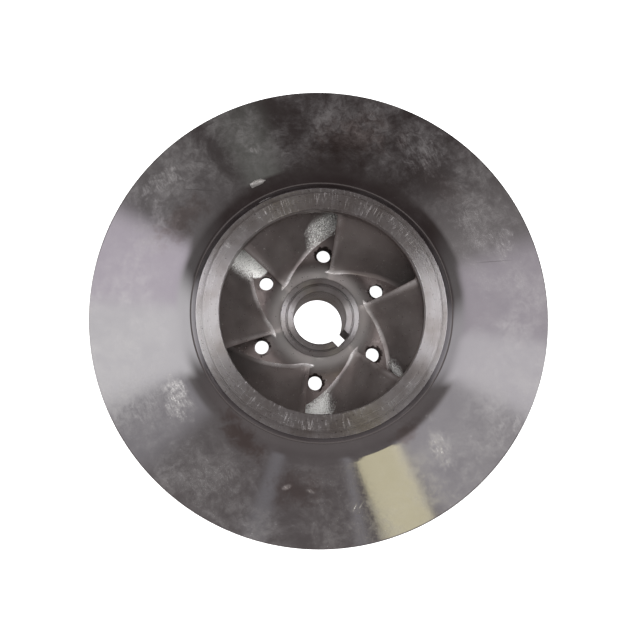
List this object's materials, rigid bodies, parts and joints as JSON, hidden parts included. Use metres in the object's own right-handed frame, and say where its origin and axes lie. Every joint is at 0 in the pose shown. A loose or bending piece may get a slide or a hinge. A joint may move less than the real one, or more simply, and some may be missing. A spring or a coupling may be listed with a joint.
{
  "type": "closed centrifugal pump impeller",
  "caption": "Closed pump impeller with a flat back shroud, a swept front shroud, twisted vanes, a turned eye ring and a keyed hub.",
  "frame": {"origin": "middle of the hub's back face, on the shaft axis, which is the lowest face", "axes": "+Z runs along the shaft axis towards the suction eye; +X and +Y are the picture's right and up"},
  "size_m": [0.32, 0.32, 0.0943],
  "materials": {
    "polished_steel": "satin polished, stained and scuffed",
    "turned_steel": "turned, with fine scratches",
    "cast_steel": "as cast and blasted, brownish grey"
  },
  "bodies": {
    "root": {"hub": "turned_steel", "back_shroud": "cast_steel", "front_shroud": "polished_steel", "suction_neck": "polished_steel", "eye_ring": "turned_steel", "back_ring": "turned_steel", "vane_1": "cast_steel", "vane_2": "cast_steel", "vane_3": "cast_steel", "vane_4": "cast_steel", "vane_5": "cast_steel", "vane_6": "cast_steel"}
  },
  "joints": []
}
